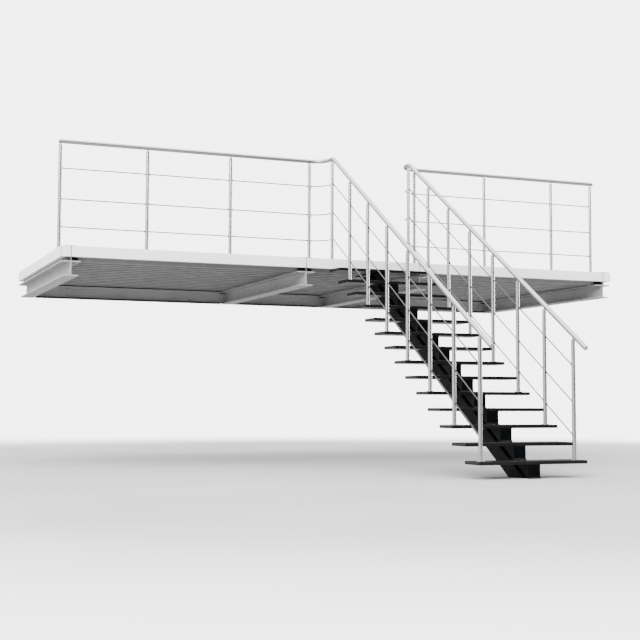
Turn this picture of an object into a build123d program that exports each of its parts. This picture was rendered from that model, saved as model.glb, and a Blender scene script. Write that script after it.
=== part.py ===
from build123d import *
import os
from math import atan, cos, degrees, tan

os.makedirs("parts", exist_ok=True)

# Platform and rail line, seen from the front: +X right, +Y to the wall, +Z up
bay = 1000.0                    # between two guard-rail posts
left_bays = 3
right_bays = 2
short_bay = 609.0               # last bay at the right end
stair_gap = 1414.0              # between the two guard posts beside the stair
end_overhang = 40.0             # deck beyond the first and the last post
deck_depth = 3036.0
deck_height = 2395.0            # floor to the top of the deck
deck_thickness = 116.0
guard_setback = 371.0           # rail line behind the front edge

# Stair
steps = 14
going = 250.0
last_rise = 127.0               # top tread to the deck
tread_width = 1165.0
tread_depth = 265.0
tread_thickness = 32.0
tread_edge_radius = 2.0
stringer_width = 130.0
stringer_depth = 166.0          # across its slope
stringer_drop = 207.0           # its top face below the nosing line, upright
stringer_radius = 15.0
bracket_wall = 6.0
cove_radius = 24.0              # at the foot of each bracket's front plate
cove_toe = 1.5
inner_plate_offset = 40.0       # from the stair's middle
inner_plate_gap = 12.0          # behind the tread below
head_plate_thickness = 12.0
head_plate_margin = 14.0        # past the stringer's upper cut
head_plate_gap = 3.0            # behind the top bracket
head_plate_width = 240.0

# Rails
post_radius = 20.0
post_inset = 75.5               # stair post in from the tread's end
post_step_back = 102.0          # stair post behind the tread's front edge
posts_every = 2                 # treads from one stair post to the next
top_post_setback = 130.0        # top stair post behind the deck's front edge
base_radius = 38.0
base_thickness = 6.0
neck_radius = 8.0
neck_height = 14.0
rail_radius = 24.0
rail_height = 1220.0            # centre of the level handrail above the deck
kink_gap = 30.0                 # the rails' slope starts in front of the top stair post
rail_bend = 200.0
rail_kink = 120.0               # radius at the start of the slope
rail_overhang = 215.0           # lower end of the handrail past its last post
left_rail_end = 20.0            # level handrail past the first guard post
right_rail_end = 38.0
rail_end_radius = 9.0
rod_radius = 6.0
rod_kink = 30.0
rod_shares = (0.208, 0.4664, 0.751)     # of the rail's height
collar_radius = 10.0
collar_length = 8.0

# Steel frame and deck
beam_depth = 166.0
beam_top_width = 216.0
beam_bottom_width = 160.0
beam_flange = 12.0
beam_web = 12.0
beam_root = 9.0
beam_setback = 8.0              # beam ends behind the deck's front face
web_inset = 110.0               # outer webs in from the deck's ends
left_beam_inset = 2860.0        # second web in from the deck's left end
right_beam_inset = 2763.0       # third web in from the deck's right end
shadow_gap = 45.0               # beams to the underside of the edge trim
channel_flange = 65.0
channel_wall = 9.0
channel_root = 8.0
anchor_radius = 9.0
anchor_rise = 70.0              # between the two rows of wall anchors
anchor_end = 420.0              # anchors in from the channel's ends
bar_stem = 10.0
bar_strip_width = 130.0
bar_strip = 5.0
base_clearance = 3.0            # strip to a post's base
packer_width = 78.0
packer_clearance = 4.0          # rear packers to those on the beams
trim_wall = 8.0
trim_lip = 50.0
trim_lip_thickness = 6.0
sheet_pitch = 190.0
sheet_flat = 71.0
sheet_lap = 12.0                # first and last crest
sheet_wall = 2.5
corner_match = 0.01             # how near a corner lies to the face it is picked by

# Places worked out from the sizes. The origin is on the wall face, in the
# middle of the deck's length and at half the height of the beams.
deck_length = 2 * end_overhang + (left_bays + right_bays) * bay + stair_gap + short_bay
left_end = -deck_length / 2
right_end = deck_length / 2
front = -deck_depth
rail_line = front + guard_setback
beam_top = beam_depth / 2
deck_bottom = beam_top + shadow_gap
deck_top = deck_bottom + deck_thickness
floor = deck_top - deck_height

left_posts = [left_end + end_overhang + i * bay for i in range(left_bays + 1)]
right_posts = [left_posts[-1] + stair_gap + i * bay for i in range(right_bays + 1)]
right_posts = right_posts + [right_posts[-1] + short_bay]
stair_middle = left_posts[-1] + stair_gap / 2

rise = (deck_height - last_rise) / steps
slope = rise / going
pitch = atan(slope)
first_nose = front - steps * going
post_spread = tread_width / 2 - post_inset
top_post_y = front + top_post_setback
stair_rail_x = {"left": stair_middle - post_spread, "right": stair_middle + post_spread}
guard_posts_x = {"left": left_posts, "right": right_posts}
rail_end_x = {"left": left_posts[0] - left_rail_end, "right": right_posts[-1] + right_rail_end}
post_treads = range(1, steps + 1, posts_every)
beam_x = (left_end + web_inset, left_end + left_beam_inset, right_end - right_beam_inset,
          right_end - web_inset)


def nose_y(k):
    """Front edge of tread k."""
    return first_nose + (k - 1) * going


def nose_z(k):
    """Top of tread k."""
    return floor + k * rise


def nosing_line(y):
    """Height of the line through the treads' front top edges."""
    return nose_z(1) + (y - first_nose) * slope


rail_level = deck_top + rail_height
kink_y = top_post_y - kink_gap
rail_over_nosing = rail_level - nosing_line(kink_y)
post_y = {k: nose_y(k) + post_step_back for k in post_treads}
rail_foot_y = post_y[1] - rail_overhang

# Stringer: one box section on the stair's centre line, cut level at the floor
# and under the deck, with the plate that bolts to the deck's ribs.
stringer_upright = stringer_depth / cos(pitch)
head_bottom = beam_top - head_plate_thickness


def stringer_top_y(z):
    """Where the stringer's upper face passes the height z."""
    return first_nose + (z + stringer_drop - nose_z(1)) / slope


foot_length = stringer_upright / slope
foot_front = stringer_top_y(floor)
head_front = stringer_top_y(head_bottom)
head_plate_front = stringer_top_y(nose_z(steps) - tread_thickness) + head_plate_gap
head_plate_back = head_front + foot_length + head_plate_margin

with BuildPart() as stringer:
    with BuildSketch(Plane.YZ.offset(stair_middle)):
        with BuildLine():
            Polyline((foot_front, floor), (head_front, head_bottom), (head_front + foot_length, head_bottom),
                     (foot_front + foot_length, floor), close=True)
        make_face()
    extrude(amount=stringer_width / 2, both=True)
    fillet(stringer.edges().filter_by(Axis((0, 0, 0), (0, 1, slope))), stringer_radius)
    with Locations((stair_middle, head_plate_front, head_bottom)):
        Box(head_plate_width, head_plate_back - head_plate_front, head_plate_thickness,
            align=(Align.CENTER, Align.MIN, Align.MIN))
stringer.part.label = "stringer"
export_step(stringer.part, "parts/stringer.step")

# Step brackets: a folded cover, open below, whose coved foot stands on the tread
# below or on the floor, and two inner plates that pass behind that tread down to
# the stringer. The cover's lower edge keeps clear of the stringer.
with BuildPart() as brackets:
    for k in range(1, steps + 1):
        top = nose_z(k) - tread_thickness
        foot = nose_z(k - 1)
        face = nose_y(k) + tread_edge_radius
        heel = face + (top - foot) / slope
        inner_face = face + bracket_wall
        inner_top = top - bracket_wall
        side_plane = Plane.YZ.offset(stair_middle)
        with BuildSketch(side_plane):
            with BuildLine():
                Polyline((face, foot), (face, top), (heel, top), close=True)
            make_face()
            with Locations((face, foot)):
                Rectangle(cove_radius, cove_radius + cove_toe, align=(Align.MAX, Align.MIN))
            with Locations((face - cove_radius, foot + cove_radius + cove_toe)):
                Circle(cove_radius, mode=Mode.SUBTRACT)
        extrude(amount=stringer_width / 2, both=True)
        with BuildSketch(side_plane):
            with BuildLine():
                Polyline((inner_face, foot + bracket_wall * slope), (inner_face, inner_top),
                         (heel - bracket_wall / slope, inner_top), close=True)
            make_face()
        extrude(amount=stringer_width / 2 - bracket_wall, both=True, mode=Mode.SUBTRACT)
        plate_front = nose_y(k - 1) + tread_depth + inner_plate_gap
        for offset in (-inner_plate_offset, inner_plate_offset):
            with BuildSketch(side_plane.offset(offset)):
                with BuildLine():
                    Polyline((plate_front, nosing_line(plate_front) - stringer_drop), (plate_front, top),
                             (stringer_top_y(top), top), close=True)
                make_face()
            extrude(amount=bracket_wall / 2, both=True)
    with Locations((stair_middle, first_nose, floor)):
        Box(stringer_width, tread_depth, rise, align=(Align.CENTER, Align.MIN, Align.MAX), mode=Mode.SUBTRACT)
brackets.part.label = "step_brackets"
export_step(brackets.part, "parts/step_brackets.step")

# Treads
for k in range(1, steps + 1):
    with BuildPart() as tread:
        with Locations((stair_middle, nose_y(k), nose_z(k))):
            Box(tread_width, tread_depth, tread_thickness, align=(Align.CENTER, Align.MIN, Align.MAX))
        fillet(tread.edges().filter_by(Axis.X), tread_edge_radius)
    tread.part.label = f"tread_{k:02d}"
    export_step(tread.part, f"parts/tread_{k:02d}.step")

# Handrails: level along the platform, round a quarter bend and down the stair
handrail = {}
for side in ("left", "right"):
    x = stair_rail_x[side]
    foot_z = nosing_line(rail_foot_y) + rail_over_nosing
    with BuildPart() as rail:
        with BuildLine() as route:
            FilletPolyline((rail_end_x[side], rail_line, rail_level), (x, rail_line, rail_level),
                           (x, kink_y, rail_level), (x, rail_foot_y, foot_z), radius=(rail_bend, rail_kink))
        with BuildSketch(Plane(origin=route.line @ 0, z_dir=route.line % 0)):
            Circle(rail_radius)
        sweep()
        ends = rail.faces().filter_by(GeomType.PLANE)
        fillet(ends.edges(), rail_end_radius)
    handrail[side] = rail.part
    rail.part.label = f"{side}_handrail"
    export_step(rail.part, f"parts/{side}_handrail.step")


def rail_centre(y):
    """Height of the sloping handrail's centre line."""
    return min(nosing_line(y) + rail_over_nosing, rail_level)


# Posts: a round base, the tube and a thin neck under the handrail
def posts(label, rail, feet):
    """Makes one node of posts, each given by its foot and the height of the rail over it."""
    with BuildPart() as made:
        for x, y, z, centre, room in feet:
            with Locations((x, y, z)):
                Cylinder(base_radius, base_thickness, align=(Align.CENTER, Align.CENTER, Align.MIN))
                Cylinder(post_radius, centre - room - z, align=(Align.CENTER, Align.CENTER, Align.MIN))
                Cylinder(neck_radius, centre - z, align=(Align.CENTER, Align.CENTER, Align.MIN))
        add(rail, mode=Mode.SUBTRACT)
    made.part.label = label
    export_step(made.part, f"parts/{label}.step")
    return made.part


level_room = rail_radius + neck_height
slope_room = rail_radius / cos(pitch) + post_radius * slope + neck_height / 2
guard = {}
stair = {}
for side in ("left", "right"):
    x = stair_rail_x[side]
    guard[side] = posts(f"{side}_guard_posts", handrail[side],
                        [(px, rail_line, deck_top, rail_level, level_room) for px in guard_posts_x[side]])
    feet = [(x, post_y[k], nose_z(k), rail_centre(post_y[k]), slope_room) for k in post_treads]
    feet.append((x, top_post_y, deck_top, rail_level, level_room))
    stair[side] = posts(f"{side}_stair_posts", handrail[side], feet)

# Rods: three to each rail, in lengths from post to post with a collar at each end
for side in ("left", "right"):
    x = stair_rail_x[side]
    reach = 2 * (post_radius + collar_length)
    with BuildPart() as guard_rods:
        for share in rod_shares:
            z = deck_top + share * rail_height
            outer = guard_posts_x[side][0] if side == "left" else guard_posts_x[side][-1]
            with BuildLine() as route:
                FilletPolyline((outer, rail_line, z), (x, rail_line, z), (x, top_post_y, z), radius=rail_bend)
            with BuildSketch(Plane(origin=route.line @ 0, z_dir=route.line % 0)):
                Circle(rod_radius)
            sweep()
            with Locations([(px, rail_line, z) for px in guard_posts_x[side]]):
                Cylinder(collar_radius, reach, rotation=(0, 90, 0))
            with Locations((x, top_post_y, z)):
                Cylinder(collar_radius, reach / 2, rotation=(-90, 0, 0),
                         align=(Align.CENTER, Align.CENTER, Align.MIN))
        add(guard[side], mode=Mode.SUBTRACT)
        add(stair[side], mode=Mode.SUBTRACT)
        with Locations((outer, rail_line, rail_level)):
            away = Align.MAX if side == "left" else Align.MIN
            Box(reach, reach, 2 * rail_height, align=(away, Align.CENTER, Align.CENTER), mode=Mode.SUBTRACT)
    guard_rods.part.label = f"{side}_guard_rods"
    export_step(guard_rods.part, f"parts/{side}_guard_rods.step")

    with BuildPart() as stair_rods:
        for share in rod_shares:
            z = deck_top + share * rail_height
            drop = rail_level - z
            end_z = rail_centre(post_y[1]) - drop
            with BuildLine() as route:
                FilletPolyline((x, top_post_y, z), (x, kink_y, z), (x, post_y[1], end_z), radius=rod_kink)
            with BuildSketch(Plane(origin=route.line @ 0, z_dir=route.line % 0)):
                Circle(rod_radius)
            sweep()
            with Locations((x, top_post_y, z)):
                Cylinder(collar_radius, reach / 2, rotation=(90, 0, 0),
                         align=(Align.CENTER, Align.CENTER, Align.MIN))
            for k in post_treads:
                middle = (x, post_y[k], rail_centre(post_y[k]) - drop)
                above_only = Align.MIN if k == 1 else Align.CENTER
                length = reach / 2 if k == 1 else reach
                with Locations(middle):
                    Cylinder(collar_radius, length / cos(pitch), rotation=(degrees(pitch) - 90, 0, 0),
                             align=(Align.CENTER, Align.CENTER, above_only))
        add(stair[side], mode=Mode.SUBTRACT)
        with Locations((x, post_y[1], floor)):
            Box(reach, reach, 2 * deck_height, align=(Align.CENTER, Align.MAX, Align.CENTER), mode=Mode.SUBTRACT)
    stair_rods.part.label = f"{side}_stair_rods"
    export_step(stair_rods.part, f"parts/{side}_stair_rods.step")

# Cross beams: rolled sections with a wide top and a narrower bottom flange
beam_length = deck_depth - beam_setback
for i, x in enumerate(beam_x):
    with BuildPart() as beam:
        with BuildSketch(Plane.XZ) as section:
            with Locations((x, 0)):
                Rectangle(beam_web, beam_depth)
            with Locations((x, beam_top)):
                Rectangle(beam_top_width, beam_flange, align=(Align.CENTER, Align.MAX))
            with Locations((x, -beam_top)):
                Rectangle(beam_bottom_width, beam_flange, align=(Align.CENTER, Align.MIN))
            roots = [v for v in section.vertices() if abs(abs(v.X - x) - beam_web / 2) < corner_match]
            fillet(roots, beam_root)
        extrude(amount=beam_length)
    beam.part.label = f"cross_beam_{i + 1}"
    export_step(beam.part, f"parts/cross_beam_{i + 1}.step")

# Rear channels: their backs lie on the wall. Each is coped at its ends to pass
# between the flanges of the cross beams.
cope_height = beam_depth - 2 * (beam_flange + beam_root)
for i in range(3):
    clear_left = beam_x[i] + beam_top_width / 2
    clear_right = beam_x[i + 1] - beam_top_width / 2
    web_left = beam_x[i] + beam_web / 2
    web_right = beam_x[i + 1] - beam_web / 2
    middle = (web_left + web_right) / 2
    anchor_reach = (clear_right - clear_left) / 2 - anchor_end
    with BuildPart() as channel:
        with BuildSketch(Plane.YZ.offset(clear_left)) as section:
            Rectangle(channel_wall, beam_depth, align=(Align.MAX, Align.CENTER))
            for edge, lean in ((beam_top, Align.MAX), (-beam_top, Align.MIN)):
                with Locations((0, edge)):
                    Rectangle(channel_flange, channel_wall, align=(Align.MAX, lean))
            roots = section.vertices().filter_by(lambda v: abs(v.X + channel_wall) < corner_match)
            fillet(roots, channel_root)
        extrude(amount=clear_right - clear_left)
        with Locations((middle, 0, 0)):
            Box(web_right - web_left, channel_wall, cope_height, align=(Align.CENTER, Align.MAX, Align.CENTER))
        holes = [(middle + u * anchor_reach, v * anchor_rise / 2) for u in (-1, 1) for v in (-1, 1)]
        with BuildSketch(Plane.XZ):
            with Locations(*holes):
                Circle(anchor_radius)
        extrude(amount=channel_wall, mode=Mode.SUBTRACT)
    channel.part.label = f"rear_channel_{i + 1}"
    export_step(channel.part, f"parts/rear_channel_{i + 1}.step")

# Joint bars: a stem on each cross beam's web line, up between the floor panels,
# with a flat strip on top of the deck
with BuildPart() as joint_bars:
    with BuildSketch(Plane.XZ):
        for x in beam_x:
            with Locations((x, beam_top)):
                Rectangle(bar_stem, deck_top - beam_top, align=(Align.CENTER, Align.MIN))
            with Locations((x, deck_top)):
                Rectangle(bar_strip_width, bar_strip, align=(Align.CENTER, Align.MIN))
    extrude(amount=deck_depth)
    deck_feet = [(px, rail_line) for px in left_posts + right_posts]
    deck_feet += [(px, top_post_y) for px in stair_rail_x.values()]
    with BuildSketch(Plane.XY.offset(deck_top)):
        with Locations(*deck_feet):
            Circle(base_radius + base_clearance)
    extrude(amount=bar_strip, mode=Mode.SUBTRACT)
joint_bars.part.label = "joint_bars"
export_step(joint_bars.part, "parts/joint_bars.step")

# Packers beside each stem, between the beam and the floor panels, and along the
# rear channels under the trim's lip
panel_bottom = deck_bottom + trim_lip_thickness
packer_front = front + trim_wall + trim_lip
packer_length = deck_depth - 2 * (trim_wall + trim_lip)
outer_packer = min(packer_width, web_inset - bar_stem / 2 - trim_wall - trim_lip)
packer_widths = [outer_packer] + [packer_width] * (2 * len(beam_x) - 2) + [outer_packer]
with BuildPart() as packers:
    for i, x in enumerate(beam_x):
        for side, (offset, lean) in enumerate(((-bar_stem / 2, Align.MAX), (bar_stem / 2, Align.MIN))):
            with Locations((x + offset, packer_front, beam_top)):
                Box(packer_widths[2 * i + side], packer_length, panel_bottom - beam_top,
                    align=(lean, Align.MIN, Align.MIN))
    for left, right in zip(beam_x[:-1], beam_x[1:]):
        rear_length = right - left - bar_stem - 2 * (packer_width + packer_clearance)
        with Locations(((left + right) / 2, 0, beam_top)):
            Box(rear_length, trim_wall + trim_lip, deck_bottom - beam_top,
                align=(Align.CENTER, Align.MAX, Align.MIN))
packers.part.label = "packers"
export_step(packers.part, "parts/packers.step")

# Floor: the widths between the deck's ends and the joint bars' stems
seams = [left_end] + [x for x in beam_x] + [right_end]
bay_edges = []
for i in range(len(seams) - 1):
    start = seams[i] + (trim_wall if i == 0 else bar_stem / 2)
    stop = seams[i + 1] - (trim_wall if i == len(seams) - 2 else bar_stem / 2)
    bay_edges.append((start, stop))

panel_length = deck_depth - 2 * trim_wall
panel_height = deck_top - panel_bottom


def floor_panel(start, stop):
    """Adds one closed floor panel to the part in hand."""
    with Locations(((start + stop) / 2, front + trim_wall, panel_bottom)):
        Box(stop - start, panel_length, panel_height, align=(Align.CENTER, Align.MIN, Align.MIN))


for i in range(3):
    with BuildPart() as panel:
        floor_panel(*bay_edges[i + 1])
    panel.part.label = f"floor_panel_{i + 1}"
    export_step(panel.part, f"parts/floor_panel_{i + 1}.step")

with BuildPart() as end_strips:
    floor_panel(*bay_edges[0])
    floor_panel(*bay_edges[-1])
end_strips.part.label = "floor_end_strips"
export_step(end_strips.part, "parts/floor_end_strips.step")

# Edge trim: white angles round the floor, with their lips under the panels. The
# front and rear angles run to the corners, and the side angles fit between them.
for name, face, lean in (("front_trim", front, Align.MIN), ("rear_trim", 0, Align.MAX)):
    with BuildPart() as trim:
        for i, (start, stop) in enumerate(bay_edges):
            left = left_end if i == 0 else start
            right = right_end if i == len(bay_edges) - 1 else stop
            with Locations(((left + right) / 2, face, deck_bottom)):
                Box(right - left, trim_wall, deck_thickness, align=(Align.CENTER, lean, Align.MIN))
                Box(right - left, trim_wall + trim_lip, trim_lip_thickness, align=(Align.CENTER, lean, Align.MIN))
    trim.part.label = name
    export_step(trim.part, f"parts/{name}.step")

with BuildPart() as side_trims:
    for end, lean in ((left_end, Align.MIN), (right_end, Align.MAX)):
        with Locations((end, front / 2, deck_bottom)):
            Box(trim_wall, panel_length, deck_thickness, align=(lean, Align.CENTER, Align.MIN))
            Box(trim_wall + trim_lip, panel_length, trim_lip_thickness, align=(lean, Align.CENTER, Align.MIN))
        with Locations((end, front, deck_bottom), (end, 0, deck_bottom)):
            Box(2 * (trim_wall + trim_lip), 2 * (trim_wall + trim_lip), trim_lip_thickness,
                align=(Align.CENTER, Align.CENTER, Align.MIN), mode=Mode.SUBTRACT)
side_trims.part.label = "side_trims"
export_step(side_trims.part, "parts/side_trims.step")

# Profiled sheets: ribs along X under the panels, resting on the beams' flanges
rib_slope = sheet_pitch / 2 - sheet_flat
trough = beam_top + sheet_wall
mitre = sheet_wall * tan(atan((panel_bottom - trough) / rib_slope) / 2)
ribs = int((packer_length - 2 * sheet_lap + sheet_flat) // sheet_pitch)
upper = [(packer_front, panel_bottom)]
lower = [(packer_front, panel_bottom - sheet_wall)]
for i in range(ribs):
    down = packer_front + sheet_lap + i * sheet_pitch
    up = down + rib_slope + sheet_flat
    upper += [(down, panel_bottom), (down + rib_slope, trough), (up, trough), (up + rib_slope, panel_bottom)]
    lower += [(down - mitre, panel_bottom - sheet_wall), (down + rib_slope - mitre, beam_top),
              (up + mitre, beam_top), (up + rib_slope + mitre, panel_bottom - sheet_wall)]
sheet_back = up + rib_slope + sheet_lap
upper.append((sheet_back, panel_bottom))
lower.append((sheet_back, panel_bottom - sheet_wall))
for i in range(3):
    start = beam_x[i] + bar_stem / 2 + packer_width
    stop = beam_x[i + 1] - bar_stem / 2 - packer_width
    with BuildPart() as sheet:
        with BuildSketch(Plane.YZ.offset(start)):
            with BuildLine():
                Polyline(*upper, *reversed(lower), close=True)
            make_face()
        extrude(amount=stop - start)
    sheet.part.label = f"profiled_sheet_{i + 1}"
    export_step(sheet.part, f"parts/profiled_sheet_{i + 1}.step")
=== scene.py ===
"""Dresses the warehouse stair: a finish for every solid, its fasteners and welds, and the studio."""

import logging
import math
from dataclasses import dataclass, field
from enum import Enum
from typing import Callable, Sequence

import bpy
from mathutils import Matrix, Vector

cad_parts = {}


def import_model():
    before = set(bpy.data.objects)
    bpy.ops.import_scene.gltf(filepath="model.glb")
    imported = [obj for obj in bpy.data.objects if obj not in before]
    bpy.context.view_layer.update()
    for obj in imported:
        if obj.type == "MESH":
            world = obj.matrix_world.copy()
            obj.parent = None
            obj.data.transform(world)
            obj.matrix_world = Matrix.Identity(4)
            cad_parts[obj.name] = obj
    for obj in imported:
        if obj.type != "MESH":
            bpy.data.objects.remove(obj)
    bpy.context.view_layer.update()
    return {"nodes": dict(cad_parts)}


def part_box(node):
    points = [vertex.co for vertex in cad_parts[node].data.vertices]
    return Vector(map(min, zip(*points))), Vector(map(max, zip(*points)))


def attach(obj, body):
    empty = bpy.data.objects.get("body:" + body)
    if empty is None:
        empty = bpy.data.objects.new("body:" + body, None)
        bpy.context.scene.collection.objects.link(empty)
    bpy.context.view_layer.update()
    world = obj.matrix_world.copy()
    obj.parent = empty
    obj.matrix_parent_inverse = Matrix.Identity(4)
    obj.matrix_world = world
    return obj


LOG = logging.getLogger("warehouse_stair")
Colour = tuple[float, float, float]
Point = tuple[float, float, float]


class Slot(Enum):
    """Names of the record's material slots; nothing in this script reads them."""

    TREAD = "tread_paint"
    STRINGER = "stringer_paint"
    RAIL = "rail_steel"
    BEAM = "beam_paint"
    TRIM = "trim_paint"
    JOINT = "joint_steel"
    PACKER = "packer_rubber"


class Grain(Enum):
    """Which way the brushing runs on a tube."""

    UPRIGHT = "upright"
    ROUTE = "route"


def rgba(colour: Colour) -> tuple[float, float, float, float]:
    """Gives a colour its full opacity."""
    return (*colour, 1.0)


def grey(value: float) -> Colour:
    """Gives a neutral colour."""
    return (value, value, value)


class Graph:
    """A node tree while it is put together."""

    def __init__(self, tree: bpy.types.NodeTree) -> None:
        """Takes up a tree.

        Args:
            tree: The tree of a material or of the world.
        """
        self.tree = tree

    def feed(self, socket: bpy.types.NodeSocket, value: object) -> None:
        """Links a socket, or sets its value.

        Args:
            socket: The input socket.
            value: Another node's output, or a plain value.
        """
        if isinstance(value, bpy.types.NodeSocket):
            self.tree.links.new(value, socket)
        else:
            socket.default_value = value

    def node(self, kind: str, inputs: dict | None = None, **settings: object) -> bpy.types.Node:
        """Adds a node.

        Args:
            kind: The node's type.
            inputs: Values or links for its sockets, by name or number.
            settings: Values for its own properties.

        Returns:
            The new node.
        """
        made = self.tree.nodes.new(kind)
        for key, value in settings.items():
            setattr(made, key, value)
        for key, value in (inputs or {}).items():
            self.feed(made.inputs[key], value)
        return made

    def ranged(self, value: bpy.types.NodeSocket, low: float, high: float, start: float = 0.35,
               stop: float = 0.65) -> bpy.types.NodeSocket:
        """Maps a value on to a range.

        Args:
            value: The value.
            low: Result at or below start.
            high: Result at or above stop.
            start: Lower end of the value.
            stop: Upper end of the value.

        Returns:
            The mapped value.
        """
        inputs = {"Value": value, "From Min": start, "From Max": stop, "To Min": low, "To Max": high}
        return self.node("ShaderNodeMapRange", inputs).outputs["Result"]

    def sums(self, operation: str, *values: object) -> bpy.types.NodeSocket:
        """Works out a sum.

        Args:
            operation: The Math node's operation.
            values: Its operands.

        Returns:
            The result.
        """
        return self.node("ShaderNodeMath", dict(enumerate(values)), operation=operation).outputs[0]

    def axis(self, name: str, vector: bpy.types.NodeSocket) -> bpy.types.NodeSocket:
        """Takes X, Y or Z out of a vector."""
        return self.node("ShaderNodeSeparateXYZ", {0: vector}).outputs[name]

    def dotted(self, first: object, second: object) -> bpy.types.NodeSocket:
        """Gives the dot product of two vectors."""
        made = self.node("ShaderNodeVectorMath", {0: first, 1: second}, operation="DOT_PRODUCT")
        return made.outputs["Value"]


class Shader(Graph):
    """One node material while it is put together, on Object coordinates."""

    def __init__(self, name: str) -> None:
        """Starts a material.

        Args:
            name: The material's name.
        """
        self.material = bpy.data.materials.new(name)
        self.material.use_nodes = True
        super().__init__(self.material.node_tree)
        self.body = self.tree.nodes["Principled BSDF"]
        self.place = self.node("ShaderNodeTexCoord").outputs["Object"]

    def mapped(self, scale: Point, turn: Point = (0.0, 0.0, 0.0)) -> bpy.types.NodeSocket:
        """Stretches the piece's coordinates.

        Args:
            scale: Factor on each axis.
            turn: Rotation about each axis, in radians.

        Returns:
            The stretched coordinates.
        """
        inputs = {"Vector": self.place, "Scale": scale, "Rotation": turn}
        return self.node("ShaderNodeMapping", inputs).outputs[0]

    def noise(self, scale: float, detail: float = 3.0,
              place: bpy.types.NodeSocket | None = None) -> bpy.types.NodeSocket:
        """Adds a noise pattern.

        Args:
            scale: Features per metre.
            detail: Octaves.
            place: Coordinates, where they aren't the piece's own.

        Returns:
            The pattern's value, about 0.3 to 0.7.
        """
        inputs = {"Vector": place or self.place, "Scale": scale, "Detail": detail}
        return self.node("ShaderNodeTexNoise", inputs).outputs[0]

    def mixed(self, factor: bpy.types.NodeSocket, first: object, second: object) -> bpy.types.NodeSocket:
        """Mixes two colours.

        Args:
            factor: 0 for the first, 1 for the second.
            first: A colour or a link.
            second: A colour or a link.

        Returns:
            The mixed colour.
        """
        return self.node("ShaderNodeMix", {0: factor, 6: first, 7: second}, data_type="RGBA").outputs[2]

    def facing_up(self) -> bpy.types.NodeSocket:
        """Gives 1 on faces that look up, 0 on upright ones."""
        normal = self.node("ShaderNodeNewGeometry").outputs["Normal"]
        return self.ranged(self.axis("Z", normal), 0.0, 1.0, 0.3, 0.95)

    def highlit_worn_edges(self, radius: float) -> bpy.types.NodeSocket:
        """Finds a solid's sharp edges.

        Args:
            radius: How far from the edge the mask reaches, in metres.

        Returns:
            1 at the edges, 0 elsewhere.
        """
        rounded = self.node("ShaderNodeBevel", {"Radius": radius}, samples=4).outputs[0]
        flat = self.node("ShaderNodeNewGeometry").outputs["Normal"]
        return self.ranged(self.dotted(rounded, flat), 1.0, 0.0, 0.75, 0.98)

    def bumped(self, height: bpy.types.NodeSocket, depth: float, strength: float = 1.0) -> None:
        """Raises the surface by a pattern.

        Args:
            height: The pattern.
            depth: Its height in metres.
            strength: How much of it shows.
        """
        inputs = {"Height": height, "Distance": depth, "Strength": strength}
        self.feed(self.body.inputs["Normal"], self.node("ShaderNodeBump", inputs).outputs[0])

    def finish(self, colour: object, roughness: object, metallic: float = 0.0) -> bpy.types.Material:
        """Feeds the shader's main sockets.

        Args:
            colour: Base colour, a value or a link.
            roughness: A value or a link.
            metallic: 0 for paint, 1 for bare metal.

        Returns:
            The finished material.
        """
        self.feed(self.body.inputs["Base Color"], colour)
        self.feed(self.body.inputs["Roughness"], roughness)
        self.feed(self.body.inputs["Metallic"], metallic)
        return self.material


@dataclass(frozen=True)
class Paint:
    """Sprayed paint on steel, with orange peel, soft clouds, light edges that are partly wear and partly
    painted highlight, dust on top, and painted shade low down.
    """

    name: str
    colour: Colour
    cloud: Colour
    edge: Colour
    roughness: float = 0.4
    specular: float = 0.5
    spread: float = 0.08
    edge_width: float = 0.003
    dust: Colour = (0.5, 0.49, 0.47)
    dust_share: float = 0.08
    painted_shade: Colour = (0.04, 0.04, 0.04)
    painted_shade_below: float = -9.0
    painted_shade_blend: float = 0.012
    peel: float = 0.00012

    def material(self) -> bpy.types.Material:
        """Builds the paint."""
        shader = Shader(self.name)
        clouds = shader.ranged(shader.noise(1.7, 4.0), 0.0, 1.0)
        colour = shader.mixed(clouds, rgba(self.colour), rgba(self.cloud))
        specks = shader.ranged(shader.noise(55.0, 2.0), 0.0, 1.0, 0.5, 0.62)
        worn = shader.ranged(specks, 0.45, 1.0, 0.0, 1.0)
        # Lighter edges: partly wear, broken up by specks, and partly a painted highlight along every sharp
        # edge.
        edges = shader.sums("MULTIPLY", shader.highlit_worn_edges(self.edge_width), worn)
        colour = shader.mixed(edges, colour, rgba(self.edge))
        dust = shader.ranged(shader.noise(6.0, 5.0), 0.0, self.dust_share)
        colour = shader.mixed(shader.sums("MULTIPLY", shader.facing_up(), dust), colour, rgba(self.dust))
        # Painted shade: below the given height the colour turns darker, a band along the piece's lower edge.
        height = shader.axis("Z", shader.place)
        low = shader.ranged(height, 1.0, 0.0, self.painted_shade_below, self.painted_shade_below + self.painted_shade_blend)
        colour = shader.mixed(low, colour, rgba(self.painted_shade))
        patches = shader.noise(9.0, 5.0)
        rough = shader.ranged(patches, self.roughness - self.spread, self.roughness + self.spread)
        shader.bumped(shader.noise(420.0, 2.0), self.peel, 0.6)
        shader.body.inputs["Specular IOR Level"].default_value = self.specular
        return shader.finish(colour, rough)


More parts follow.
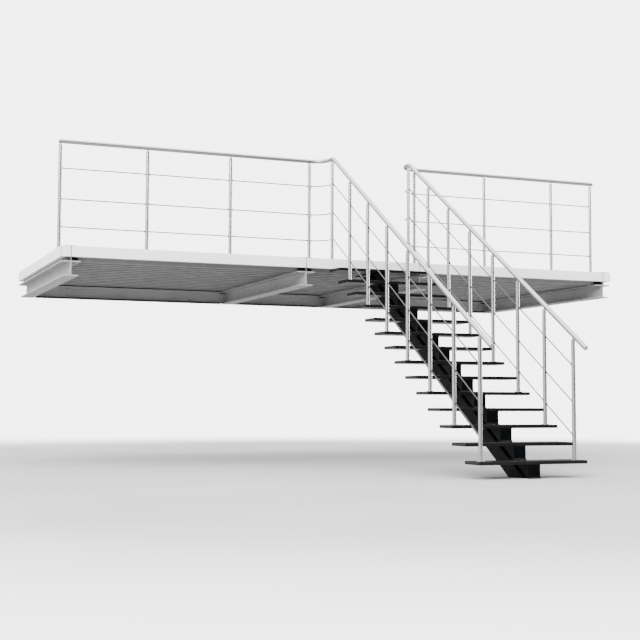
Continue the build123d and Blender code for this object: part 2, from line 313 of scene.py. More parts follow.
@dataclass(frozen=True)
class Brushed:
    """Brushed stainless steel, with fine lines along the tube and faint handling marks.

    Across and along are the lines' two scales. Between the two values of bend, which lie on Y, the lines of a
    level rail give way to those of the slope.
    """

    name: str
    grain: Grain
    pitch: float
    colour: Colour = (0.36, 0.36, 0.358)
    stain: Colour = (0.325, 0.325, 0.325)
    roughness: float = 0.27
    spread: float = 0.025
    across: float = 900.0
    along: float = 6.0
    bend: tuple[float, float] = (-2.86, -2.7)

    def material(self) -> bpy.types.Material:
        """Builds the steel."""
        shader = Shader(self.name)
        if self.grain is Grain.UPRIGHT:
            lines = shader.noise(1.0, 3.0, shader.mapped((self.across, self.across, self.along)))
        else:
            lines = self.route_lines(shader)
        clouds = shader.ranged(shader.noise(3.5, 4.0), 0.0, 0.5)
        streaks = shader.ranged(lines, 0.0, 0.45)
        colour = shader.mixed(clouds, rgba(self.colour), rgba(self.stain))
        colour = shader.mixed(streaks, colour, rgba(self.stain))
        marks = shader.sums("ADD", shader.ranged(shader.noise(24.0, 4.0), -self.spread, self.spread),
                            shader.ranged(lines, -self.spread, self.spread))
        rough = shader.sums("ADD", marks, self.roughness)
        shader.bumped(lines, 0.00005, 0.3)
        return shader.finish(colour, rough, 1.0)

    def route_lines(self, shader: Shader) -> bpy.types.NodeSocket:
        """Runs the lines along the level rail, then down the stair's slope.

        Args:
            shader: The material in hand.

        Returns:
            The pattern of lines.
        """
        level = shader.noise(1.0, 3.0, shader.mapped((self.along, self.across, self.across)))
        tilted = shader.mapped((self.across, self.along, self.across), (-self.pitch, 0.0, 0.0))
        sloped = shader.noise(1.0, 3.0, tilted)
        before = shader.ranged(shader.axis("Y", shader.place), 1.0, 0.0, *self.bend)
        mix = shader.node("ShaderNodeMix", {0: before, 2: level, 3: sloped}, data_type="FLOAT")
        return mix.outputs[0]


@dataclass(frozen=True)
class SheetSteel:
    """Zinc-coated sheet with a grey coat: faint spangle, streaks across the ribs and dull patches."""

    name: str
    colour: Colour
    spangle: Colour
    roughness: float = 0.5

    def material(self) -> bpy.types.Material:
        """Builds the coated sheet."""
        shader = Shader(self.name)
        cells = shader.node("ShaderNodeTexVoronoi", {"Vector": shader.place, "Scale": 70.0}).outputs["Color"]
        shade = shader.node("ShaderNodeSeparateColor", {0: cells}).outputs[0]
        colour = shader.mixed(shader.ranged(shade, 0.0, 0.5, 0.0, 1.0), rgba(self.colour), rgba(self.spangle))
        streaks = shader.noise(1.0, 4.0, shader.mapped((0.9, 14.0, 14.0)))
        colour = shader.mixed(shader.ranged(streaks, 0.0, 0.35), colour, rgba(self.spangle))
        rough = shader.ranged(shader.noise(8.0, 4.0), self.roughness - 0.1, self.roughness + 0.1)
        shader.bumped(shader.noise(160.0, 2.0), 0.0001, 0.5)
        return shader.finish(colour, rough, 0.35)


@dataclass(frozen=True)
class Coating:
    """Rolled floor coating with fine grit, in boards with tight joints."""

    name: str
    colour: Colour
    wear: Colour
    joint_colour: Colour = (0.12, 0.12, 0.12)
    board: float = 0.6
    joint: float = 0.004

    def material(self) -> bpy.types.Material:
        """Builds the coating."""
        shader = Shader(self.name)
        patches = shader.ranged(shader.noise(1.3, 6.0), 0.0, 1.0)
        colour = shader.mixed(patches, rgba(self.colour), rgba(self.wear))
        grit = shader.noise(650.0, 2.0)
        colour = shader.mixed(shader.ranged(grit, 0.0, 0.25, 0.5, 0.7), colour, rgba(self.wear))
        nearest = shader.sums("PINGPONG", shader.axis("Y", shader.place), self.board / 2)
        seam = shader.ranged(nearest, 1.0, 0.0, 0.0, self.joint)
        colour = shader.mixed(shader.sums("MULTIPLY", seam, 0.7), colour, rgba(self.joint_colour))
        height = shader.sums("SUBTRACT", shader.sums("MULTIPLY", grit, 0.4), seam)
        shader.bumped(height, 0.0012, 0.7)
        return shader.finish(colour, shader.ranged(shader.noise(5.0, 5.0), 0.55, 0.8))


@dataclass(frozen=True)
class Rubber:
    """Bearing rubber with a matt, slightly chalky face, greyer outside the outer joint bars."""

    name: str = "bearing_rubber"
    colour: Colour = (0.003, 0.003, 0.0032)
    chalk: Colour = (0.01, 0.01, 0.0105)
    outer_grey: Colour = (0.12, 0.12, 0.118)
    outer_grey_from: float = 3.443
    specular: float = 0.1

    def material(self) -> bpy.types.Material:
        """Builds the rubber."""
        shader = Shader(self.name)
        chalk = shader.ranged(shader.noise(40.0, 5.0), 0.0, 0.6)
        colour = shader.mixed(chalk, rgba(self.colour), rgba(self.chalk))
        across = shader.sums("ABSOLUTE", shader.axis("X", shader.place))
        outside = shader.ranged(across, 0.0, 1.0, self.outer_grey_from, self.outer_grey_from + 0.002)
        colour = shader.mixed(outside, colour, rgba(self.outer_grey))
        shader.bumped(shader.noise(300.0, 3.0), 0.0002, 0.8)
        shader.body.inputs["Specular IOR Level"].default_value = self.specular
        return shader.finish(colour, shader.ranged(shader.noise(20.0), 0.7, 0.9))


@dataclass(frozen=True)
class Zinc:
    """Bright zinc on fasteners and weld metal."""

    name: str
    colour: Colour
    roughness: float = 0.35

    def material(self) -> bpy.types.Material:
        """Builds the plated metal."""
        shader = Shader(self.name)
        dull = tuple(0.6 * v for v in self.colour)
        colour = shader.mixed(shader.ranged(shader.noise(90.0, 4.0), 0.0, 0.7), rgba(self.colour), rgba(dull))
        rough = shader.ranged(shader.noise(140.0, 3.0), self.roughness - 0.08, self.roughness + 0.12)
        shader.bumped(shader.noise(500.0, 2.0), 0.00008, 0.6)
        return shader.finish(colour, rough, 0.9)


def clear_selection() -> None:
    """Leaves edit mode and deselects every object."""
    if bpy.context.mode != "OBJECT":
        bpy.ops.object.mode_set(mode="OBJECT")
    bpy.ops.object.select_all(action="DESELECT")


def take(piece: bpy.types.Object) -> None:
    """Selects one piece alone.

    Args:
        piece: The piece.
    """
    clear_selection()
    piece.select_set(True)
    bpy.context.view_layer.objects.active = piece


def pick(piece: bpy.types.Object, test: Callable[[bpy.types.MeshPolygon], bool]) -> None:
    """Opens a piece in edit mode with some of its faces selected.

    Args:
        piece: The piece.
        test: Says whether a face is selected.
    """
    take(piece)
    bpy.ops.object.mode_set(mode="EDIT")
    bpy.ops.mesh.select_mode(type="FACE")
    bpy.ops.mesh.select_all(action="DESELECT")
    bpy.ops.object.mode_set(mode="OBJECT")
    for face in piece.data.polygons:
        face.select = test(face)
    bpy.ops.object.mode_set(mode="EDIT")


def raise_face(height: float, inset: float) -> None:
    """Insets the selected face and moves the inner one up or down.

    Args:
        height: The move along Z.
        inset: The inset's width.
    """
    bpy.ops.mesh.inset(thickness=inset)
    bpy.ops.transform.translate(value=(0.0, 0.0, height))


def sink_face(depth: float) -> None:
    """Extrudes the selected face down.

    Args:
        depth: How far.
    """
    bpy.ops.mesh.extrude_region_move(TRANSFORM_OT_translate={"value": (0.0, 0.0, -depth)})


def join(pieces: Sequence[bpy.types.Object]) -> bpy.types.Object:
    """Joins pieces into the first.

    Args:
        pieces: The pieces.

    Returns:
        The joined piece.
    """
    clear_selection()
    for piece in pieces:
        piece.select_set(True)
    bpy.context.view_layer.objects.active = pieces[0]
    if len(pieces) > 1:
        bpy.ops.object.join()
    return pieces[0]


def settle(piece: bpy.types.Object, angle: float = 35.0) -> bpy.types.Object:
    """Leaves edit mode, puts the place into the mesh and smooths its shallow edges.

    Args:
        piece: The piece.
        angle: Edges shallower than this are smooth, in degrees.

    Returns:
        The same piece.
    """
    take(piece)
    bpy.ops.object.transform_apply(location=True, rotation=True, scale=True)
    bpy.ops.object.shade_smooth_by_angle(angle=math.radians(angle))
    return piece


def spread(master: bpy.types.Object, places: Sequence[Matrix], name: str) -> bpy.types.Object:
    """Copies a master to each place, and joins the copies into one piece.

    Args:
        master: The piece that repeats, which is used up.
        places: Where each copy goes.
        name: The joined piece's name.

    Returns:
        The joined piece.
    """
    copies = []
    for place in places:
        copy = master.copy()
        copy.data = master.data.copy()
        copy.data.transform(place)
        bpy.context.scene.collection.objects.link(copy)
        copies.append(copy)
    bpy.data.objects.remove(master)
    piece = join(copies)
    piece.name = name
    piece.data.name = name
    return piece


def at(*place: float) -> Matrix:
    """Gives the move to a place."""
    return Matrix.Translation(Vector(place))


@dataclass
class Fastener:
    """Screws and bolts, each with its seat at the origin and its head up."""

    radius: float
    height: float

    def button(self) -> bpy.types.Object:
        """Models a button head with a hexagonal socket.

        Returns:
            The screw.
        """
        bpy.ops.mesh.primitive_cylinder_add(vertices=24, radius=self.radius, depth=self.height,
                                            location=(0.0, 0.0, self.height / 2))
        piece = bpy.context.object
        pick(piece, lambda face: face.normal.z > 0.9)
        raise_face(0.35 * self.height, 0.22 * self.radius)
        raise_face(0.12 * self.height, 0.2 * self.radius)
        raise_face(0.0, 0.16 * self.radius)
        sink_face(0.7 * self.height)
        return settle(piece)

    def hexagon(self, washer: float) -> bpy.types.Object:
        """Models a hexagon head on a washer.

        Args:
            washer: The washer's radius.

        Returns:
            The bolt.
        """
        plate = 0.28 * self.height
        bpy.ops.mesh.primitive_cylinder_add(vertices=32, radius=washer, depth=plate,
                                            location=(0.0, 0.0, plate / 2))
        disc = bpy.context.object
        pick(disc, lambda face: face.normal.z > 0.9)
        raise_face(0.15 * plate, 0.05 * washer)
        clear_selection()
        bpy.ops.mesh.primitive_cylinder_add(vertices=6, radius=self.radius, depth=self.height,
                                            location=(0.0, 0.0, plate + self.height / 2))
        head = bpy.context.object
        pick(head, lambda face: face.normal.z > 0.9)
        raise_face(0.1 * self.height, 0.12 * self.radius)
        raise_face(0.0, 0.3 * self.radius)
        sink_face(0.06 * self.height)
        clear_selection()
        return settle(join([disc, head]))

    def stud(self) -> bpy.types.Object:
        """Models the end of an anchor, cut square with a chamfer.

        Returns:
            The stud.
        """
        bpy.ops.mesh.primitive_cylinder_add(vertices=20, radius=self.radius, depth=self.height,
                                            location=(0.0, 0.0, self.height / 2))
        piece = bpy.context.object
        pick(piece, lambda face: face.normal.z > 0.9)
        raise_face(0.15 * self.radius, 0.18 * self.radius)
        return settle(piece)


@dataclass
class Weld:
    """A run of weld metal."""

    leg: float

    def bead(self, length: float) -> bpy.types.Object:
        """Models a rippled bead from the origin along +X.

        Args:
            length: The run's length.

        Returns:
            The bead.
        """
        waves = max(6, round(length / (2.2 * self.leg)))
        bpy.ops.mesh.primitive_circle_add(vertices=8, radius=0.55 * self.leg, fill_type="NGON",
                                          rotation=(0.0, math.pi / 2, 0.0))
        piece = bpy.context.object
        bpy.ops.object.transform_apply(location=False, rotation=True, scale=False)
        pick(piece, lambda face: True)
        for i in range(waves):
            bpy.ops.mesh.extrude_region_move(TRANSFORM_OT_translate={"value": (length / waves, 0.0, 0.0)})
            factor = 1.35 if i % 2 == 0 else 1 / 1.35
            if i < waves - 1:
                bpy.ops.transform.resize(value=(1.0, factor, factor))
        bpy.ops.mesh.select_all(action="SELECT")
        bpy.ops.mesh.normals_make_consistent(inside=False)
        return settle(piece, 60.0)

    def ring(self, radius: float, height: float) -> bpy.types.Object:
        """Models a fillet round a tube's foot, by spinning its section.

        Args:
            radius: The tube's radius.
            height: The plate's top above the foot.

        Returns:
            The ring.
        """
        bpy.ops.mesh.primitive_circle_add(vertices=8, radius=self.leg, fill_type="NOTHING",
                                          location=(radius, 0.0, height), rotation=(math.pi / 2, 0.0, 0.0))
        piece = bpy.context.object
        bpy.ops.object.transform_apply(location=True, rotation=True, scale=False)
        take(piece)
        bpy.ops.object.mode_set(mode="EDIT")
        bpy.ops.mesh.select_all(action="SELECT")
        bpy.ops.mesh.spin(steps=28, angle=2 * math.pi, center=(0.0, 0.0, 0.0), axis=(0.0, 0.0, 1.0))
        bpy.ops.mesh.select_all(action="SELECT")
        bpy.ops.mesh.remove_doubles(threshold=0.00005)
        bpy.ops.mesh.normals_make_consistent(inside=False)
        clear_selection()
        return settle(piece, 60.0)


@dataclass
class Strip:
    """A sealing strip with rounded edges."""

    width: float
    depth: float
    height: float

    def bar(self) -> bpy.types.Object:
        """Models the strip: its width about the origin along X, its depth along +Y and its height up.

        Returns:
            The strip.
        """
        bpy.ops.mesh.primitive_cube_add(size=1.0, location=(0.0, 0.5, 0.5))
        piece = bpy.context.object
        bpy.ops.object.transform_apply(location=True, rotation=False, scale=False)
        pick(piece, lambda face: True)
        bpy.ops.transform.resize(value=(self.width, self.depth, self.height), center_override=(0.0, 0.0, 0.0))
        bpy.ops.mesh.bevel(offset=0.25 * min(self.width, self.depth, self.height), segments=2, affect="EDGES")
        bpy.ops.mesh.select_all(action="SELECT")
        bpy.ops.mesh.normals_make_consistent(inside=False)
        return settle(piece, 40.0)


@dataclass
class Sizes:
    """The stair's main places, in metres, in the CAD's frame."""

    left_end: float = -3.5515
    right_end: float = 3.5515
    front: float = -3.036
    deck_top: float = 0.244
    beam_top: float = 0.083
    floor: float = -2.151
    rail_line: float = -2.665
    steps: int = 14
    going: float = 0.25
    rise: float = 0.162
    stair_middle: float = 0.1955
    post_spread: float = 0.507
    post_step_back: float = 0.102
    top_post_y: float = -2.906
    stringer_drop: float = 0.207
    beams: tuple[float, ...] = (-3.4415, -0.6915, 0.7885, 3.4415)
    guard_posts: dict = field(default_factory=lambda: {
        "left": (-3.5115, -2.5115, -1.5115, -0.5115), "right": (0.9025, 1.9025, 2.9025, 3.5115)})

    @property
    def slope(self) -> float:
        """Rise over going."""
        return self.rise / self.going

    @property
    def pitch(self) -> float:
        """The stair's angle, in radians."""
        return math.atan(self.slope)

    def nose(self, k: int) -> tuple[float, float]:
        """Gives tread k's front top edge as Y and Z."""
        return self.front - (self.steps - k + 1) * self.going, self.floor + k * self.rise

    def stair_feet(self, side: str) -> list[Point]:
        """Lists the feet of one side's stair posts.

        Args:
            side: "left" or "right".

        Returns:
            The feet, from the lowest up.
        """
        x = self.stair_middle + (self.post_spread if side == "right" else -self.post_spread)
        feet = []
        for k in range(1, self.steps + 1, 2):
            y, z = self.nose(k)
            feet.append((x, y + self.post_step_back, z))
        feet.append((x, self.top_post_y, self.deck_top))
        return feet

    def guard_feet(self, side: str) -> list[Point]:
        """Lists the feet of one side's guard posts."""
        return [(x, self.rail_line, self.deck_top) for x in self.guard_posts[side]]


@dataclass
class Finishes:
    """Every finish of the stair, built once."""

    pitch: float

    def __post_init__(self) -> None:
        """Builds the materials."""
        # Each paint's third colour lightens its edges: partly wear, partly painted highlight.
        self.tread = Paint("tread_gloss_paint", (0.0035, 0.0036, 0.0039), (0.006, 0.0062, 0.0066),
                           (0.03, 0.031, 0.032), roughness=0.2, specular=0.12, spread=0.06, edge_width=0.0022,
                           dust_share=0.025).material()
        self.stringer = Paint("stringer_satin_paint", (0.0009, 0.0011, 0.0013), (0.0018, 0.0021, 0.0024),
                              (0.015, 0.017, 0.018), roughness=0.4, specular=0.03, edge_width=0.0025,
                              dust_share=0.02).material()
        self.trim = Paint("fascia_white_paint", (0.83, 0.825, 0.815), (0.79, 0.785, 0.775),
                          (0.88, 0.88, 0.875), roughness=0.42).material()
        self.beam = Paint("beam_grey_paint", (0.27, 0.266, 0.268), (0.23, 0.228, 0.23), grey(0.5),
                          roughness=0.45, specular=0.3).material()
        # The rear channels take a lighter copy of the beams' paint, painted light, and painted shade darkens
        # their lower edge.
        self.channel = Paint("channel_grey_paint", (0.33, 0.326, 0.328), (0.28, 0.278, 0.28), grey(0.5),
                             roughness=0.45, specular=0.3, painted_shade_below=-0.066).material()
        self.post = Brushed("post_brushed_steel", Grain.UPRIGHT, self.pitch).material()
        self.rail = Brushed("rail_brushed_steel", Grain.ROUTE, self.pitch).material()
        # The rods take the rails' brushed steel made far darker: painted shade.
        self.rod = Brushed("rod_steel_painted_dark", Grain.ROUTE, self.pitch, grey(0.06), grey(0.05)).material()
        self.sheet = SheetSteel("ribbed_sheet_coat", (0.11, 0.11, 0.109), (0.145, 0.145, 0.144)).material()
        self.floor = Coating("floor_grit_coating", (0.3, 0.3, 0.295), (0.37, 0.37, 0.362)).material()
        self.joint = Zinc("joint_bar_zinc", grey(0.3), 0.4).material()
        self.fastener = Zinc("fastener_zinc", grey(0.6), 0.32).material()
        self.black_metal = Zinc("blackened_screws", (0.09, 0.09, 0.095), 0.35).material()
        self.rubber = Rubber().material()
        self.sealant = Rubber("grey_sealant", (0.2, 0.2, 0.198), (0.26, 0.26, 0.258),
                              (0.22, 0.22, 0.218)).material()


def coat(nodes: dict, names: Sequence[str], material: bpy.types.Material) -> None:
    """Gives CAD nodes a finish.

    Args:
        nodes: The CAD nodes by name.
        names: Which of them.
        material: The finish.
    """
    for name in names:
        node = nodes[name]
        if not node.material_slots:
            node.data.materials.append(material)
        for slot in node.material_slots:
            slot.material = material


def fit(piece: bpy.types.Object, material: bpy.types.Material) -> bpy.types.Object:
    """Gives a new piece its finish and makes it part of the stair.

    Args:
        piece: The piece.
        material: Its finish.

    Returns:
        The same piece.
    """
    piece.data.materials.clear()
    piece.data.materials.append(material)
    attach(piece, "root")
    return piece


@dataclass
class Flight:
    """The stringer, its brackets and the treads."""

    sizes: Sizes
    finishes: Finishes
    screw_offset: float = 0.045
    screw_rows: tuple[float, float] = (0.05, 0.15)
    inner_plate_offset: float = 0.043
    inner_plate_front: float = 0.027
    inner_plate_back: float = 0.27
    head_plate: float = 0.012
    head_bolt_offset: float = 0.098
    head_bolt_rows: tuple[float, float] = (0.03, 0.22)

    def build(self, nodes: dict) -> list[bpy.types.Object]:
        """Dresses the flight and adds its screws and welds.

        Args:
            nodes: The CAD nodes by name.

        Returns:
            The new pieces.
        """
        coat(nodes, ["stringer", "step_brackets"], self.finishes.stringer)
        coat(nodes, [f"tread_{k:02d}" for k in range(1, self.sizes.steps + 1)], self.finishes.tread)
        return [self.tread_screws(), self.bracket_welds(), self.head_bolts()]

    def tread_screws(self) -> bpy.types.Object:
        """Sets four button heads in each tread, over its bracket."""
        places = []
        for k in range(1, self.sizes.steps + 1):
            y, z = self.sizes.nose(k)
            for u in (-self.screw_offset, self.screw_offset):
                for v in self.screw_rows:
                    places.append(at(self.sizes.stair_middle + u, y + v, z))
        piece = spread(Fastener(radius=0.0065, height=0.0022).button(), places, "tread_screws")
        return fit(piece, self.finishes.black_metal)

    def bracket_welds(self) -> bpy.types.Object:
        """Runs a weld along the foot of each bracket's inner plates, from the second tread up."""
        length = (self.inner_plate_back - self.inner_plate_front) / math.cos(self.sizes.pitch)
        lay = Matrix.Rotation(math.pi / 2, 4, "Z")
        tip = Matrix.Rotation(self.sizes.pitch, 4, "X")
        places = []
        for k in range(2, self.sizes.steps + 1):
            y, z = self.sizes.nose(k)
            start = y + self.inner_plate_front
            foot = z + self.inner_plate_front * self.sizes.slope - self.sizes.stringer_drop
            for u in (-self.inner_plate_offset, self.inner_plate_offset):
                places.append(at(self.sizes.stair_middle + u, start, foot) @ tip @ lay)
        piece = spread(Weld(leg=0.0045).bead(length), places, "bracket_welds")
        return fit(piece, self.finishes.stringer)

    def head_bolts(self) -> bpy.types.Object:
        """Hangs four hexagon heads under the stringer's head plate."""
        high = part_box("stringer")[1]
        turn = Matrix.Rotation(math.pi, 4, "X")
        places = []
        for u in (-self.head_bolt_offset, self.head_bolt_offset):
            for v in self.head_bolt_rows:
                places.append(at(self.sizes.stair_middle + u, high.y - v, high.z - self.head_plate) @ turn)
        piece = spread(Fastener(radius=0.013, height=0.009).hexagon(washer=0.016), places, "head_plate_bolts")
        return fit(piece, self.finishes.fastener)


@dataclass
class Railing:
    """Handrails, posts and rods of both sides."""

    sizes: Sizes
    finishes: Finishes
    post_radius: float = 0.02
    base_thickness: float = 0.006
    screw_circle: float = 0.029

    def build(self, nodes: dict) -> list[bpy.types.Object]:
        """Dresses the railing and adds the screws and welds of its bases.

        Args:
            nodes: The CAD nodes by name.

        Returns:
            The new pieces.
        """
        pieces = []
        for side in ("left", "right"):
            coat(nodes, [f"{side}_guard_posts", f"{side}_stair_posts"], self.finishes.post)
            coat(nodes, [f"{side}_handrail"], self.finishes.rail)
            coat(nodes, [f"{side}_guard_rods", f"{side}_stair_rods"], self.finishes.rod)
            groups = {"guard": self.sizes.guard_feet(side), "stair": self.sizes.stair_feet(side)}
            for group, feet in groups.items():
                pieces.append(self.base_screws(f"{side}_{group}_base_screws", feet))
                pieces.append(self.base_welds(f"{side}_{group}_base_welds", feet))
        return pieces

    def base_screws(self, name: str, feet: Sequence[Point]) -> bpy.types.Object:
        """Sets four button heads in each base.

        Args:
            name: The piece's name.
            feet: The posts' feet.

        Returns:
            The screws.
        """
        places = []
        for x, y, z in feet:
            for i in range(4):
                angle = math.pi / 4 + i * math.pi / 2
                aside = self.screw_circle * math.cos(angle)
                back = self.screw_circle * math.sin(angle)
                places.append(at(x + aside, y + back, z + self.base_thickness))
        piece = spread(Fastener(radius=0.0045, height=0.0022).button(), places, name)
        return fit(piece, self.finishes.fastener)

    def base_welds(self, name: str, feet: Sequence[Point]) -> bpy.types.Object:
        """Runs a weld round the foot of each post.

        Args:
            name: The piece's name.
            feet: The posts' feet.

        Returns:
            The welds.
        """
        places = [at(*foot) for foot in feet]
        piece = spread(Weld(leg=0.0022).ring(self.post_radius, self.base_thickness), places, name)
        return fit(piece, self.finishes.post)


@dataclass
class Platform:
    """The steel frame, the floor and its edge trim."""

    sizes: Sizes
    finishes: Finishes
    anchor_end: float = 0.42
    anchor_rise: float = 0.07
    flange_half: float = 0.108
    web_half: float = 0.006
    channel_wall: float = 0.009
    strip_top: float = 0.249
    strip_screw_offset: float = 0.045
    strip_screw_start: float = 0.12
    strip_screw_pitch: float = 0.31
    strip_screws_per_row: int = 10
    clear_of_rail_line: float = 0.07
    cope_half: float = 0.062
    cope_slit: float = 0.009
    cope_strip_start: float = 0.007
    cope_strip_depth: float = 0.0085
    packer_span: tuple[float, float] = (0.045, 0.0865)
    packer_back: float = -0.0575
    packer_depth: float = 0.036
    deck_bottom: float = 0.128
    corner_seal_width: float = 0.005
    corner_seal_depth: float = 0.001
    corner_seal_proud: float = 0.0006

    def build(self, nodes: dict) -> list[bpy.types.Object]:
        """Dresses the platform and adds its anchors, screws, welds, seals, and black strips that paint shade
        into the copes' slits.

        Args:
            nodes: The CAD nodes by name.

        Returns:
            The new pieces.
        """
        groups = {"cross_beam": self.finishes.beam, "rear_channel": self.finishes.channel,
                  "profiled_sheet": self.finishes.sheet, "floor_": self.finishes.floor}
        for start, finish in groups.items():
            coat(nodes, [name for name in nodes if name.startswith(start)], finish)
        coat(nodes, ["front_trim", "rear_trim", "side_trims"], self.finishes.trim)
        coat(nodes, ["joint_bars"], self.finishes.joint)
        coat(nodes, ["packers"], self.finishes.rubber)
        return [*self.wall_anchors(), self.strip_screws(), self.channel_welds(), self.cope_shade_strips(),
                self.packer_ends(), self.corner_seals()]

    def anchor_places(self) -> list[Matrix]:
        """Lists the wall anchors on the front face of the channels' webs."""
        turn = Matrix.Rotation(math.pi / 2, 4, "X")
        places = []
        for a, b in zip(self.sizes.beams, self.sizes.beams[1:]):
            middle = (a + b) / 2
            reach = (b - a) / 2 - self.flange_half - self.anchor_end
            for u in (-1, 1):
                for v in (-1, 1):
                    places.append(at(middle + u * reach, -self.channel_wall, v * self.anchor_rise / 2) @ turn)
        return places

    def wall_anchors(self) -> list[bpy.types.Object]:
        """Puts a washer, a nut and a stud's end on each wall anchor."""
        places = self.anchor_places()
        nuts = spread(Fastener(radius=0.0138, height=0.0128).hexagon(washer=0.0165), places, "anchor_nuts")
        studs = spread(Fastener(radius=0.0078, height=0.024).stud(), places, "anchor_studs")
        return [fit(nuts, self.finishes.channel), fit(studs, self.finishes.channel)]

    def strip_screws(self) -> bpy.types.Object:
        """Sets two rows of low screws along each strip on the floor, clear of the posts' bases."""
        places = []
        for x in self.sizes.beams:
            for u in (-self.strip_screw_offset, self.strip_screw_offset):
                for i in range(self.strip_screws_per_row):
                    y = self.sizes.front + self.strip_screw_start + i * self.strip_screw_pitch
                    if abs(y - self.sizes.rail_line) > self.clear_of_rail_line:
                        places.append(at(x + u, y, self.strip_top))
        piece = spread(Fastener(radius=0.006, height=0.0012).button(), places, "joint_strip_screws")
        return fit(piece, self.finishes.fastener)

    def inside(self, offset: float) -> list[float]:
        """Lists the X of places set off from the beams' middles, on the sides that face another beam."""
        places = []
        for left, right in zip(self.sizes.beams, self.sizes.beams[1:]):
            places.extend((left + offset, right - offset))
        return places

    def channel_welds(self) -> bpy.types.Object:
        """Runs an upright weld where each channel's web meets a beam's web."""
        stand = Matrix.Rotation(-math.pi / 2, 4, "Y")
        places = [at(x, -self.channel_wall, -self.cope_half) @ stand for x in self.inside(self.web_half)]
        piece = spread(Weld(leg=0.005).bead(2 * self.cope_half), places, "channel_welds")
        return fit(piece, self.finishes.channel)

    def cope_shade_strips(self) -> bpy.types.Object:
        """Fills the slits between a coped channel's web and the beam's flanges with black rubber strips:
        painted shade.
        """
        width = self.flange_half - self.cope_strip_start
        places = []
        for x in self.inside((self.cope_strip_start + self.flange_half) / 2):
            for z in (self.cope_half, -self.cope_half - self.cope_slit):
                places.append(at(x, -self.channel_wall, z))
        strip = Strip(width=width, depth=self.cope_strip_depth, height=self.cope_slit)
        piece = spread(strip.bar(), places, "cope_shade_strips")
        return fit(piece, self.finishes.rubber)

    def packer_ends(self) -> bpy.types.Object:
        """Closes the gaps between the rear packers and those on the beams, behind the latter."""
        start, stop = self.packer_span
        places = [at(x, self.packer_back, self.sizes.beam_top) for x in self.inside((start + stop) / 2)]
        height = self.deck_bottom - self.sizes.beam_top
        strip = Strip(width=stop - start, depth=self.packer_depth, height=height)
        piece = spread(strip.bar(), places, "packer_ends")
        return fit(piece, self.finishes.rubber)

    def corner_seals(self) -> bpy.types.Object:
        """Draws a line of sealant up each front corner of the edge trim."""
        inset = self.corner_seal_width / 2
        places = [at(x, self.sizes.front - self.corner_seal_proud, self.deck_bottom)
                  for x in (self.sizes.left_end + inset, self.sizes.right_end - inset)]
        strip = Strip(width=self.corner_seal_width, depth=self.corner_seal_depth,
                      height=self.sizes.deck_top - self.deck_bottom)
        piece = spread(strip.bar(), places, "corner_seals")
        return fit(piece, self.finishes.sealant)


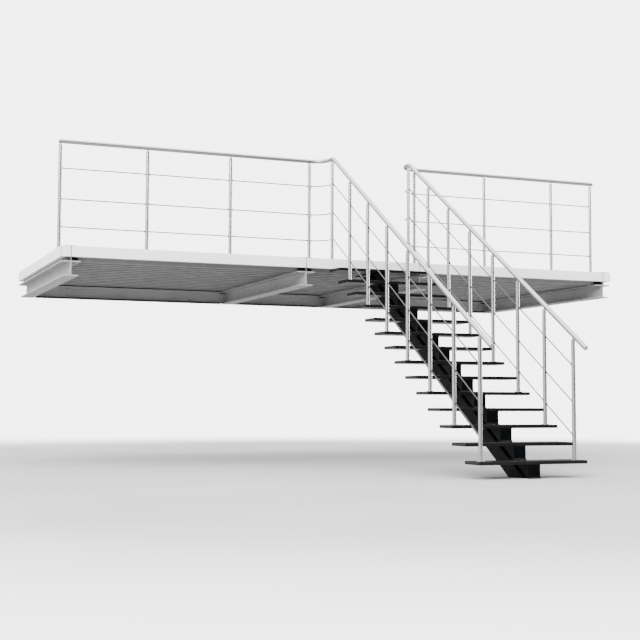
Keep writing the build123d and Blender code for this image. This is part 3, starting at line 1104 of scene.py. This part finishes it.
@dataclass
class Studio:
    """The floor, the light and the camera."""

    sizes: Sizes
    place: Point = (-5.9728, -16.4167, -1.4696)
    yaw: float = 22.1736
    pitch: float = 3.9010
    roll: float = 0.1345
    lens: float = 69.473
    centre: tuple[float, float] = (0.2, -3.4)
    floor_size: float = 40.0
    floor_colour: Colour = (0.28, 0.28, 0.278)
    floor_cloud: Colour = (0.31, 0.31, 0.308)
    fade: tuple[float, float] = (7.0, 13.0)
    bright_way: Point = (-0.995, 0.1, 0.0)
    bright_side: float = 2.6
    dark_side: float = 0.3
    ceiling: float = 6.0
    backdrop: float = 5.4
    key: float = 4800.0
    fill: float = 2600.0

    def build(self) -> None:
        """Sets up the studio."""
        self.floor()
        self.sky()
        self.lamps()
        self.camera()

    def floor(self) -> None:
        """Lays the pale floor, which fades out round the stair."""
        middle = (*self.centre, self.sizes.floor)
        bpy.ops.object.select_all(action="DESELECT")
        bpy.ops.mesh.primitive_plane_add(size=self.floor_size, location=middle)
        piece = bpy.context.object
        piece.name = "studio_floor"
        bpy.ops.object.transform_apply(location=True, rotation=True, scale=True)
        shader = Shader("studio_floor_pale")
        clouds = shader.ranged(shader.noise(0.6, 5.0), 0.0, 1.0)
        shader.finish(shader.mixed(clouds, rgba(self.floor_colour), rgba(self.floor_cloud)), 0.7)
        shader.body.inputs["Specular IOR Level"].default_value = 0.2
        reach = shader.node("ShaderNodeVectorMath", {0: shader.place, 1: middle},
                            operation="DISTANCE").outputs["Value"]
        near, far = self.fade
        fade = shader.node("ShaderNodeMapRange", {"Value": reach, "From Min": near, "From Max": far},
                           interpolation_type="SMOOTHSTEP").outputs["Result"]
        clear = shader.node("ShaderNodeBsdfTransparent").outputs[0]
        mix = shader.node("ShaderNodeMixShader", {0: fade, 1: shader.body.outputs[0], 2: clear}).outputs[0]
        shader.feed(shader.tree.nodes["Material Output"].inputs["Surface"], mix)
        piece.data.materials.append(shader.material)

    def sky(self) -> None:
        """Makes a white surround that falls off to the right, for the tubes' darker side."""
        world = bpy.data.worlds.new("studio_surround")
        bpy.context.scene.world = world
        world.use_nodes = True
        graph = Graph(world.node_tree)
        way = graph.node("ShaderNodeTexCoord").outputs["Generated"]
        aside = graph.dotted(way, self.bright_way)
        wall = graph.ranged(aside, self.dark_side, self.bright_side, 0.0, 0.9)
        above = graph.ranged(graph.axis("Z", way), 0.0, self.ceiling, 0.25, 0.9)
        light = graph.sums("ADD", wall, above)
        seen = graph.node("ShaderNodeLightPath").outputs["Is Camera Ray"]
        strength = graph.node("ShaderNodeMix", {0: seen, 2: light, 3: self.backdrop}).outputs[0]
        background = graph.tree.nodes["Background"]
        graph.feed(background.inputs["Color"], (1.0, 1.0, 1.0, 1.0))
        graph.feed(background.inputs["Strength"], strength)

    def lamps(self) -> None:
        """Hangs a large soft lamp to the front left and a weaker one far to the right."""
        self.lamp("key_lamp", self.key, (8.0, 6.0), (-11.0, -13.5, 7.5), (0.0, -3.0, 0.0))
        self.lamp("fill_lamp", self.fill, (7.0, 5.0), (14.0, -5.0, 1.5), (2.0, -2.0, -1.0))

    def lamp(self, name: str, power: float, size: tuple[float, float], place: Point, target: Point) -> None:
        """Hangs one rectangular lamp.

        Args:
            name: Its name.
            power: In watts.
            size: Width and height.
            place: Where it hangs.
            target: What it looks at.
        """
        data = bpy.data.lights.new(name, "AREA")
        data.shape = "RECTANGLE"
        data.size, data.size_y = size
        data.energy = power
        lamp = bpy.data.objects.new(name, data)
        bpy.context.scene.collection.objects.link(lamp)
        lamp.location = place
        lamp.rotation_euler = (Vector(target) - lamp.location).to_track_quat("-Z", "Y").to_euler()

    def camera(self) -> None:
        """Stands the camera where the picture was taken."""
        yaw, pitch, roll = (math.radians(v) for v in (self.yaw, self.pitch, self.roll))
        forward = Vector((math.sin(yaw) * math.cos(pitch), math.cos(yaw) * math.cos(pitch), math.sin(pitch)))
        right = Vector((math.cos(yaw), -math.sin(yaw), 0.0))
        up = right.cross(forward)
        across = right * math.cos(roll) + up * math.sin(roll)
        over = up * math.cos(roll) - right * math.sin(roll)
        data = bpy.data.cameras.new("camera")
        data.sensor_width = 36.0
        data.lens = self.lens
        data.clip_end = 300.0
        camera = bpy.data.objects.new("camera", data)
        bpy.context.scene.collection.objects.link(camera)
        turn = Matrix((across, over, -forward)).transposed().to_4x4()
        camera.matrix_world = at(*self.place) @ turn
        bpy.context.scene.camera = camera


def main() -> None:
    """Builds the stair's looks in order, and reports each piece."""
    logging.basicConfig(level=logging.INFO, format="%(name)s: %(message)s")
    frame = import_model()
    clear_selection()
    sizes = Sizes()
    finishes = Finishes(sizes.pitch)
    for assembly in (Flight(sizes, finishes), Railing(sizes, finishes), Platform(sizes, finishes)):
        for piece in assembly.build(frame["nodes"]):
            LOG.info("%s: %s, %d faces", type(assembly).__name__, piece.name, len(piece.data.polygons))
    Studio(sizes).build()


if __name__ == "__main__":
    main()
